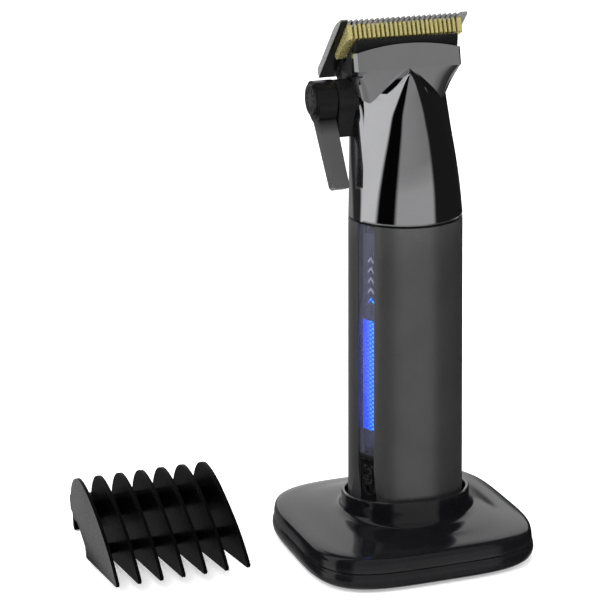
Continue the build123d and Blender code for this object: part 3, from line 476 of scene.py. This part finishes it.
def make_materials():
    """One material for each material slot of the record."""
    return {
        "gloss_black": surface(
            "gloss_black",
            (0.005, 0.005, 0.006),
            0.12,
            bump=0.01,
            rough_vary=0.04,
            wear=(0.06, 0.06, 0.06),
            specular=0.6,
        ),
        "pad_rubber": surface("pad_rubber", (0.02, 0.02, 0.02), 0.8, bump=0.3, grain=900),
        "plain_steel": surface("plain_steel", (0.62, 0.62, 0.63), 0.25, 1.0, wear=(0.8, 0.8, 0.8)),
        "circuit_board": surface("circuit_board", (0.045, 0.05, 0.085), 0.5),
        "contact_brass": surface("contact_brass", (0.75, 0.55, 0.22), 0.25, 1.0, wear=(0.9, 0.75, 0.4)),
        "gunmetal": surface(
            "gunmetal",
            (0.17, 0.17, 0.174),
            0.34,
            0.86,
            vary=0.05,
            grain=2600,
            bump=0.12,
            wear=(0.4, 0.4, 0.4),
        ),
        "smoked_window": window_material(),
        "light_blue": light_material(),
        "mark_grey": surface("mark_grey", (0.6, 0.6, 0.65), 0.4),
        "black_chrome": surface(
            "black_chrome",
            (0.72, 0.72, 0.735),
            0.055,
            1.0,
            vary=0.03,
            rough_vary=0.02,
            bump=0.0,
            wear=(0.9, 0.9, 0.9),
            wear_share=0.3,
        ),
        "black_plastic": surface(
            "black_plastic",
            (0.004, 0.004, 0.0045),
            0.36,
            bump=0.05,
            wear=(0.04, 0.04, 0.04),
            specular=0.22,
        ),
        # blade steel with a painted highlight along the back edge and at the right corner, darker on the
        # inner part of its ends
        "blade_steel": painted_light_and_shade(
            "blade_steel",
            (0.02, 0.02, 0.021),
            (0.66, 0.66, 0.67),
            painted_blade_highlight,
            0.22,
            0.78,
            grain=2600,
            stretch=(0.05, 1.0, 1.0),
            bump=0.1,
            wear=(0.85, 0.85, 0.85),
        ),
        "gold_coated_steel": surface(
            "gold_coated_steel",
            (0.82, 0.73, 0.29),
            0.24,
            0.72,
            vary=0.06,
            bump=0.0,
            wear=(0.95, 0.85, 0.45),
        ),
        "cell_wrap": surface("cell_wrap", (0.03, 0.12, 0.35), 0.35),
        # lever arm with painted shade, darker round its hub
        "lever_metal": painted_light_and_shade(
            "lever_metal",
            (0.03, 0.03, 0.032),
            (0.22, 0.22, 0.225),
            painted_lever_shade,
            0.2,
            0.85,
            vary=0.05,
            rough_vary=0.02,
            grain=700,
            bump=0.0,
            wear=(0.5, 0.5, 0.5),
        ),
        # comb with painted light on the outer fin and tips and painted shade between the fins
        "comb_plastic": painted_light_and_shade(
            "comb_plastic",
            (0.0015, 0.0015, 0.0018),
            (0.075, 0.075, 0.077),
            painted_comb_light,
            0.3,
            bump=0.0,
            specular=0.02,
        ),
    }


# ---------------------------------------------------------------- mesh helpers

CRISP_ANGLE, SOFT_ANGLE, BROW_ANGLE = 32.0, 40.0, 22.0
BEVEL_ANGLE, BEVEL_SEGMENTS = 28.0, 2


def smooth(mesh, angle):
    """Shade smooth, with edges sharper than the angle kept crisp."""
    for face in mesh.polygons:
        face.use_smooth = True
    mesh.set_sharp_from_angle(angle=radians(angle))


def add_mesh(name, points, faces, body, slot, angle=CRISP_ANGLE):
    """New object from points in millimetres, riding a body and using a material slot."""
    mesh = bpy.data.meshes.new(name)
    mesh.from_pydata([(x * MM, y * MM, z * MM) for x, y, z in points], [], faces)
    mesh.validate()
    work = bmesh.new()
    work.from_mesh(mesh)
    bmesh.ops.recalc_face_normals(work, faces=work.faces)
    work.to_mesh(mesh)
    work.free()
    smooth(mesh, angle)
    thing = bpy.data.objects.new(name, mesh)
    bpy.context.scene.collection.objects.link(thing)
    thing.data.materials.append(materials[slot])
    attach(thing, body)
    return thing


def grid(rows, closed=False):
    """Points and faces of a surface through rows of points; closed joins each row's ends."""
    points = [p for row in rows for p in row]
    wide = len(rows[0])
    faces = []
    for i in range(len(rows) - 1):
        for j in range(wide if closed else wide - 1):
            k = (j + 1) % wide
            faces.append((i * wide + j, i * wide + k, (i + 1) * wide + k, (i + 1) * wide + j))
    return points, faces


def row_at(knots, x):
    """Row of numbers between knot rows at a value of their first number, without overshoot."""
    xs = [k[0] for k in knots]
    i = max(0, min(len(xs) - 2, sum(1 for v in xs if v <= x) - 1))
    width = xs[i + 1] - xs[i]
    t = (x - xs[i]) / width
    row = [x]
    for c in range(1, len(knots[0])):
        ys = [k[c] for k in knots]
        steps = [(ys[n + 1] - ys[n]) / (xs[n + 1] - xs[n]) for n in range(len(xs) - 1)]
        slopes = [steps[0]]
        for a, b in zip(steps, steps[1:]):
            slopes.append(0.0 if a * b <= 0 else 2 * a * b / (a + b))
        slopes.append(steps[-1])
        start = (2 * t**3 - 3 * t**2 + 1) * ys[i] + (t**3 - 2 * t**2 + t) * width * slopes[i]
        finish = (3 * t**2 - 2 * t**3) * ys[i + 1] + (t**3 - t**2) * width * slopes[i + 1]
        row.append(start + finish)
    return row


def curve_through(knots, count):
    """Evenly spaced rows through knot rows."""
    low, high = knots[0][0], knots[-1][0]
    return [row_at(knots, low + (high - low) * n / (count - 1)) for n in range(count)]


def bevelled(node_name, width, slot):
    """Copy of a CAD piece with its edges rounded, standing in for it."""
    node = frame["nodes"][node_name]
    work = bmesh.new()
    work.from_mesh(node.data)
    bmesh.ops.remove_doubles(work, verts=work.verts, dist=1e-6)
    joined = [e for e in work.edges if len(e.link_faces) == 2]
    edges = [e for e in joined if e.calc_face_angle(0) > radians(BEVEL_ANGLE)]
    bmesh.ops.bevel(
        work,
        geom=edges,
        offset=width * MM,
        offset_type="OFFSET",
        segments=BEVEL_SEGMENTS,
        profile=0.5,
        affect="EDGES",
        clamp_overlap=True,
    )
    mesh = bpy.data.meshes.new(node_name + "_look")
    work.to_mesh(mesh)
    work.free()
    smooth(mesh, SOFT_ANGLE)
    thing = bpy.data.objects.new(node_name + "_look", mesh)
    bpy.context.scene.collection.objects.link(thing)
    even = thing.modifiers.new("even", "WEIGHTED_NORMAL")
    even.keep_sharp = True
    mesh.materials.clear()
    mesh.materials.append(materials[slot])
    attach(thing, body_of[node_name])
    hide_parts(node_name)
    return thing


# ---------------------------------------------------------------- charging stand

STAND_HALF, STAND_DEPTH_SHARE, STAND_SHIFT = 42.4, 0.965, -1.6
STAND_SQUARENESS, STAND_POINTS = 3.9, 288
INLET_BORE_RADIUS, INLET_BORE_LENGTH, INLET_BORE_Y = 3.5, 12, 41
# height and inset of each ring, in millimetres, from the foot of a cover up
BOTTOM_SIDE = (
    (1.0, 2.2),
    (1.25, 1.5),
    (1.9, 0.75),
    (2.8, 0.25),
    (4.2, 0.0),
    (5.6, 0.12),
    (6.7, 0.4),
    (7.0, 0.65),
    (7.0, 1.6),
)
TOP_RIM = (
    (7.2, 1.6),
    (7.2, 0.75),
    (7.5, 0.52),
    (9.0, 0.60),
    (10.4, 0.80),
    (11.4, 1.10),
    (12.0, 1.5),
    (12.4, 2.1),
    (12.6, 2.9),
)
# share of the way in, then height, inset, squareness and share of the rounded-square outline
DOME = (
    (0.0, 12.9, 4.6, 3.9, 1.0),
    (0.35, 13.45, 9.2, 3.5, 0.86),
    (0.7, 14.2, 13.6, 2.6, 0.35),
    (1.0, 14.65, 16.6, 2.02, 0.0),
)
DOME_RINGS = 22
# radius, height and share of the rim's tilt: fillet, wall and rounded rim, then down inside the cup
COLLAR = (
    (25.0, 14.8, 0),
    (24.2, 15.1, 0),
    (23.6, 15.6, 0),
    (23.2, 16.3, 0),
    (23.0, 17.4, 0.1),
    (23.0, 20.6, 0.7),
    (23.0, 23.7, 1),
    (22.9, 24.1, 1),
    (22.6, 24.4, 1),
    (22.2, 24.45, 1),
    (21.8, 24.3, 1),
    (21.55, 23.9, 1),
    (21.5, 23.2, 1),
    (21.5, 9.5, 0),
)
COLLAR_RADIUS, COLLAR_TILT = 23.0, 0.11


def stand_ring(z, inset, exponent, share):
    """Ring of the stand: share 1 is its rounded-square outline, share 0 a circle round the handle."""
    half = STAND_HALF - inset
    depth = half * (1 - (1 - STAND_DEPTH_SHARE) * share)
    ring = []
    for i in range(STAND_POINTS):
        a = 2 * pi * (i + 0.5) / STAND_POINTS
        c, s = cos(a), sin(a)
        x = copysign(half * abs(c) ** (2 / exponent), c)
        y = copysign(depth * abs(s) ** (2 / exponent), s)
        ring.append((x + STAND_SHIFT * share, y, z))
    return ring


def bore_for_inlet(thing):
    """Round hole through the back of a stand cover, for the power inlet."""
    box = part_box("stand_power_inlet")
    z = (box[0][2] + box[1][2]) / 2 / MM
    tool = bpy.data.meshes.new("inlet_bore")
    work = bmesh.new()
    bmesh.ops.create_cone(
        work,
        cap_ends=True,
        segments=64,
        radius1=INLET_BORE_RADIUS * MM,
        radius2=INLET_BORE_RADIUS * MM,
        depth=INLET_BORE_LENGTH * MM,
    )
    bmesh.ops.rotate(work, verts=work.verts, matrix=Matrix.Rotation(pi / 2, 3, "X"))
    bmesh.ops.translate(work, verts=work.verts, vec=(0, INLET_BORE_Y * MM, z * MM))
    work.to_mesh(tool)
    work.free()
    cutter = bpy.data.objects.new("inlet_bore", tool)
    bpy.context.scene.collection.objects.link(cutter)
    cut = thing.modifiers.new("bore", "BOOLEAN")
    cut.object = cutter
    cut.operation = "DIFFERENCE"
    cut.solver = "EXACT"
    bpy.context.view_layer.update()
    drilled = thing.evaluated_get(bpy.context.evaluated_depsgraph_get())
    baked = bpy.data.meshes.new_from_object(drilled)
    thing.modifiers.clear()
    thing.data = baked
    smooth(baked, CRISP_ANGLE)
    bpy.data.objects.remove(cutter)


def capped(rows):
    """Closed shell from rings, with a flat face over each end."""
    points, faces = grid(rows, closed=True)
    wide = len(rows[0])
    last = (len(rows) - 1) * wide
    faces.append(tuple(range(wide)))
    faces.append(tuple(last + i for i in range(wide)))
    return points, faces


def build_stand_top():
    """Glossy top cover: rim, shallow dome, and the collar that holds the handle."""
    rows = [stand_ring(z, inset, STAND_SQUARENESS, 1.0) for z, inset in TOP_RIM]
    for level in curve_through(DOME, DOME_RINGS):
        rows.append(stand_ring(*level[1:]))
    for radius, z, tilted in COLLAR:
        level = stand_ring(0, STAND_HALF - radius, 2.0, 0.0)
        rows.append([(x, y, z - tilted * COLLAR_TILT * (y + COLLAR_RADIUS)) for x, y, _ in level])
    points, faces = capped(rows)
    cover = add_mesh("stand_top_look", points, faces, "stand", "gloss_black")
    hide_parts("stand_top_cover")
    bore_for_inlet(cover)


def build_stand_bottom():
    """Glossy bottom cover, a fine groove below the top one."""
    points, faces = capped([stand_ring(z, inset, STAND_SQUARENESS, 1.0) for z, inset in BOTTOM_SIDE])
    cover = add_mesh("stand_bottom_look", points, faces, "stand", "gloss_black")
    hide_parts("stand_bottom_cover")
    bore_for_inlet(cover)


# ---------------------------------------------------------------- head covers

# front cover's levels: height, half width at the crease, and the Y of the crease and of the nose,
# then the nose's radius
FRONT = (
    (123.4, 18.6, -7.1, -19.9, 19.7),
    (133.0, 18.0, -6.0, -19.3, 18.3),
    (143.0, 17.1, -4.2, -17.9, 16.0),
    (153.0, 15.9, -1.6, -15.7, 13.1),
    (160.0, 15.0, 0.2, -13.3, 10.8),
    (164.5, 14.3, 2.0, -11.5, 8.3),
    (169.5, 7.5, -1.9, -8.9, 5.0),
    (172.5, 3.7, -2.8, -6.7, 2.5),
    (174.4, 0.35, -3.8, -4.35, 0.2),
)
# back cover's levels: height, X and Y of the crease, X and Y of the side, and the Y of the back
BACK = (
    (123.4, 18.6, -7.1, 19.9, 0.0, 19.9),
    (143.0, 17.1, -4.2, 18.9, 3.5, 20.4),
    (156.0, 15.5, -0.8, 18.1, 5.6, 21.3),
    (166.5, 14.0, 2.5, 17.5, 7.2, 22.7),
)
FRONT_ROWS, BACK_ROWS = 110, 60
FLANK_STEPS, NOSE_STEPS, SIDE_STEPS, ARC_STEPS = 20, 90, 16, 72
SIDE_BULGE = 0.7
HEAD_FOOT_Z, LIP_Z = 123.4, 123.9
FOOT_SHARE, FOOT_EDGE_SHARE = 0.985, 0.992
CREASE_TOP_Z, BACK_TOP_Z = 164.5, 164.6
SHOULDER_Y, SHOULDER_Z = 19.9, 163.8


def front_row(z, half, crease_y, front_y, nose_r):
    """Section of the front cover: flank, round nose, flank."""
    centre_y = front_y + nose_r
    reach = sqrt(half**2 + (crease_y - centre_y) ** 2)
    turn = atan2(half, centre_y - crease_y) - acos(min(1.0, nose_r / reach))
    tangent = (nose_r * sin(turn), centre_y - nose_r * cos(turn))
    flank = []
    for i in range(FLANK_STEPS):
        t = i / FLANK_STEPS
        flank.append((half + (tangent[0] - half) * t, crease_y + (tangent[1] - crease_y) * t, z))
    row = [(-x, y, z) for x, y, z in flank]
    for i in range(NOSE_STEPS + 1):
        a = -turn + 2 * turn * i / NOSE_STEPS
        row.append((nose_r * sin(a), centre_y - nose_r * cos(a), z))
    return row + flank[::-1]


def back_row(z, crease_x, crease_y, side_x, side_y, back_y):
    """Section of the back cover: from the left crease round the back to the right one."""
    bend_x = (crease_x + side_x) / 2 + SIDE_BULGE
    bend_y = (crease_y + side_y) / 2 - SIDE_BULGE
    right = []
    for i in range(SIDE_STEPS):
        t = i / SIDE_STEPS
        a, b, c = (1 - t) ** 2, 2 * t * (1 - t), t * t
        x = a * crease_x + b * bend_x + c * side_x
        y = a * crease_y + b * bend_y + c * side_y
        right.append((x, y, z))
    centre_y = (side_x**2 + side_y**2 - back_y**2) / (2 * (side_y - back_y))
    radius = back_y - centre_y
    start = atan2(-side_x, side_y - centre_y)
    row = [(-x, y, z) for x, y, z in right]
    for i in range(ARC_STEPS + 1):
        a = start * (1 - 2 * i / ARC_STEPS)
        row.append((radius * sin(a), centre_y + radius * cos(a), z))
    return row + right[::-1]


def drawn_in(row, share):
    """Row at the head's foot, drawn in towards the middle."""
    return [(x * share, y * share, HEAD_FOOT_Z) for x, y, _ in row]


def build_head_front():
    """Black-chrome front cover, with the brow under the blades."""
    rows = [front_row(*level) for level in curve_through(FRONT, FRONT_ROWS)]
    lip = [(x, y, LIP_Z) for x, y, _ in rows[0]]
    foot = [drawn_in(rows[0], share) for share in (FOOT_SHARE, FOOT_EDGE_SHARE)]
    points, faces = grid(foot + [lip] + rows[1:])
    front = add_mesh("head_front_look", points, faces, "clipper", "black_chrome", SOFT_ANGLE)
    brow = brow_mesh()
    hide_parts("head_front_cover")
    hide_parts("head_front_cover")


def build_head_back():
    """Black-chrome back cover, which shares the front cover's crease."""
    rows = []
    for level in curve_through(BACK, BACK_ROWS):
        z = level[0]
        if z > BACK_TOP_Z:
            break
        level[1:3] = row_at(FRONT, min(z, CREASE_TOP_Z))[1:3]
        row = back_row(*level)
        rows.append([(x, y, z if y > SHOULDER_Y else min(z, SHOULDER_Z)) for x, y, z in row])
    rows.insert(0, drawn_in(rows[0], FOOT_SHARE))
    points, faces = grid(rows)
    back = add_mesh("head_back_look", points, faces, "clipper", "black_chrome", SOFT_ANGLE)
    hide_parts("head_back_cover")


# ---------------------------------------------------------------- brow

BROW_HALF, BROW_FACE_HALF, BROW_STEPS = 19.5, 18.5, 60
BAND_STEPS, FACE_STEPS = 15, 24
RIDGE_Y, RIDGE_Z = -4.0, 174.6
BROW_TOP_Z, BROW_ARCH = 180.5, 2.5
# lower edge: distance from the middle and height
BROW_LOW_EDGE = ((0.0, 158.29), (14.6, 163.4), (18.3, 167.3), (19.5, 172.9))
BAND_SLOPE = 1.9 / 8.7
FACE_SLOPE, WING_SLOPE, WING_HALF, WING_POWER = 0.18, 0.96, 18.45, 6
WING_END_SET_BACK = 1.35
BROW_BACK_SHARE, BROW_BACK_Y, BROW_THICKNESS = 0.97, 1.7, 0.6
BROW_FLAT_BACK_Z = 172


def brow_low(distance):
    """Height of the brow's lower edge at a distance from the middle."""
    for (near, start), (far, end) in zip(BROW_LOW_EDGE, BROW_LOW_EDGE[1:]):
        if distance <= far:
            break
    return start + (end - start) * (distance - near) / (far - near)


def brow_depth(x, z):
    """Y of the brow's outer surface: a band above, a face below that sweeps back at the sides."""
    if z >= RIDGE_Z:
        return RIDGE_Y + (z - RIDGE_Z) * BAND_SLOPE
    slope = FACE_SLOPE + WING_SLOPE * (abs(x) / WING_HALF) ** WING_POWER
    return RIDGE_Y + slope * (RIDGE_Z - z)


def brow_column(x):
    """Points down the brow's outer surface, from its arched top edge over the ridge to its lower edge."""
    distance = abs(x)
    high = BROW_TOP_Z + BROW_ARCH * (1 - (distance / BROW_HALF) ** 2)
    low = brow_low(distance)
    heights = [high + (RIDGE_Z - high) * i / BAND_STEPS for i in range(BAND_STEPS + 1)]
    heights += [RIDGE_Z + (low - RIDGE_Z) * i / FACE_STEPS for i in range(1, FACE_STEPS + 1)]
    set_back = WING_END_SET_BACK if distance > BROW_FACE_HALF else 0.0
    return [(x, brow_depth(x, z) + set_back, z) for z in heights]


def brow_back(point):
    """Point of the brow's inner surface behind a point of the outer one."""
    x, y, z = point
    flat = z > BROW_FLAT_BACK_Z
    return (x * BROW_BACK_SHARE, BROW_BACK_Y if flat else max(BROW_BACK_Y, y + BROW_THICKNESS), z)


def brow_mesh():
    """Brow across the top of the front cover, with an arched top edge and swept-back wings."""
    across = [BROW_FACE_HALF * (2 * i / BROW_STEPS - 1) for i in range(BROW_STEPS + 1)]
    columns = [brow_column(x) for x in (-BROW_HALF, *across, BROW_HALF)]
    rows = list(zip(*columns))
    points, faces = grid(rows)
    base, wide, tall = len(points), len(columns), len(rows)
    points += [brow_back(point) for point in points]
    faces += [tuple(base + v for v in face) for face in faces]
    edge = list(range(wide))
    edge += [i * wide + wide - 1 for i in range(1, tall)]
    edge += [(tall - 1) * wide + i for i in range(wide - 2, -1, -1)]
    edge += [i * wide for i in range(tall - 2, 0, -1)]
    for a, b in zip(edge, edge[1:] + edge[:1]):
        faces.append((a, b, base + b, base + a))
    return add_mesh("brow_look", points, faces, "clipper", "black_chrome", BROW_ANGLE)


# ---------------------------------------------------------------- put it together

# width of the bevel on the edges of each CAD piece that keeps its shape, in millimetres
BEVEL_WIDTHS = {
    "taper_lever_arm": 0.5,
    "lever_cap": 0.25,
    "lever_block": 0.4,
    "comb_guide": 0.22,
    "fixed_blade": 0.12,
    "cutter_blade": 0.1,
    "joint_ring": 0.1,
    "power_switch_slider": 0.25,
    "switch_bezel": 0.15,
    "nose_insert": 0.15,
    "blade_screws": 0.12,
}
body_of = {name: body for body, names in frame["record"]["behaviour"]["bodies"].items() for name in names}
slot_of = {part["node"]: part["material_slot"] for part in frame["record"]["subparts"]}
materials = make_materials()
own_looks = {
    "lever_block": surface("lever_block_dark", (0.02, 0.02, 0.021), 0.2, 0.6, bump=0.0, specular=0.35),
    "lever_cap": surface("lever_cap_dark", (0.10, 0.10, 0.102), 0.16, 0.95, bump=0.0),
}

for name, node in frame["nodes"].items():
    node.data.materials.clear()
    node.data.materials.append(materials[slot_of[name]])

build_stand_top()
build_stand_bottom()
build_head_front()
build_head_back()
for name, width in BEVEL_WIDTHS.items():
    look = bevelled(name, width, slot_of[name])
    if name in own_looks:
        look.data.materials[0] = own_looks[name]

make_camera()
make_world()
make_floor()
bpy.context.scene.view_settings.view_transform = "Standard"
area_light("key_light", (-0.9, -0.5, 1.2), (0, 0, 0.08), (1.0, 1.0), 20)
area_light("fill_light", (0.9, -0.7, 1.0), (0, 0, 0.08), (1.0, 1.0), 12)
area_light("top_light", (0.0, 0.5, 1.5), (0, 0, 0), (1.6, 1.2), 26)
